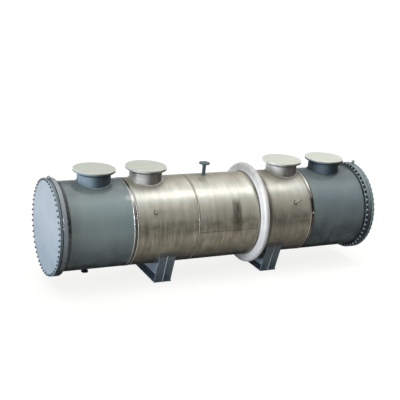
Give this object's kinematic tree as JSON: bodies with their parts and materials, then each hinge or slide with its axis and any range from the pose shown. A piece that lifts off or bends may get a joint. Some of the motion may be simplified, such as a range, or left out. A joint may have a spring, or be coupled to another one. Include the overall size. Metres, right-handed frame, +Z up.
{
  "type": "acid cooler",
  "caption": "Horizontal shell-and-tube acid cooler: stainless shell with an expansion bellows, painted channels with bolted flat covers, blanked top nozzles, on steel saddles.",
  "frame": {"origin": "on the floor, under the middle of the vessel's length and its centre line", "axes": "+X along the vessel towards the end with the bellows, +Z up, -Y towards the side with the instrument couplings"},
  "size_m": [5.666, 1.7098, 1.869],
  "materials": {
    "cover_paint": "smooth satin blue-grey paint",
    "channel_paint": "satin grey-green paint",
    "gasket": "dark compressed fibre",
    "stainless": "mill finish with circumferential streaks and heat tint",
    "bellows": "pale matte pickled stainless",
    "blank": "pale smooth plate",
    "saddle_paint": "satin dark blue-grey paint"
  },
  "bodies": {
    "root": {"left_channel_cover": "cover_paint", "right_channel_cover": "cover_paint", "left_cover_gasket": "gasket", "right_cover_gasket": "gasket", "left_channel_flange": "channel_paint", "right_channel_flange": "channel_paint", "left_channel": "channel_paint", "right_channel": "channel_paint", "left_lifting_lug": "channel_paint", "right_lifting_lug": "channel_paint", "left_tube_sheet": "stainless", "right_tube_sheet": "stainless", "left_shell_course": "stainless", "middle_shell_course": "stainless", "right_shell_course": "stainless", "expansion_bellows": "bellows", "left_water_neck": "channel_paint", "left_water_flange": "channel_paint", "left_water_blank": "blank", "left_acid_neck": "stainless", "left_acid_flange": "stainless", "left_acid_blank": "blank", "right_acid_neck": "stainless", "right_acid_flange": "stainless", "right_acid_blank": "blank", "right_water_neck": "channel_paint", "right_water_flange": "channel_paint", "right_water_blank": "blank", "vent_neck": "channel_paint", "vent_flange": "channel_paint", "vent_blank": "channel_paint", "drain_neck": "channel_paint", "drain_flange": "channel_paint", "drain_blank": "channel_paint", "left_instrument_coupling": "stainless", "right_instrument_coupling": "stainless", "left_saddle_base": "saddle_paint", "left_saddle_web": "saddle_paint", "left_saddle_ribs": "saddle_paint", "left_saddle_wear_plate": "saddle_paint", "right_saddle_base": "saddle_paint", "right_saddle_web": "saddle_paint", "right_saddle_ribs": "saddle_paint", "right_saddle_wear_plate": "saddle_paint"}
  },
  "joints": []
}
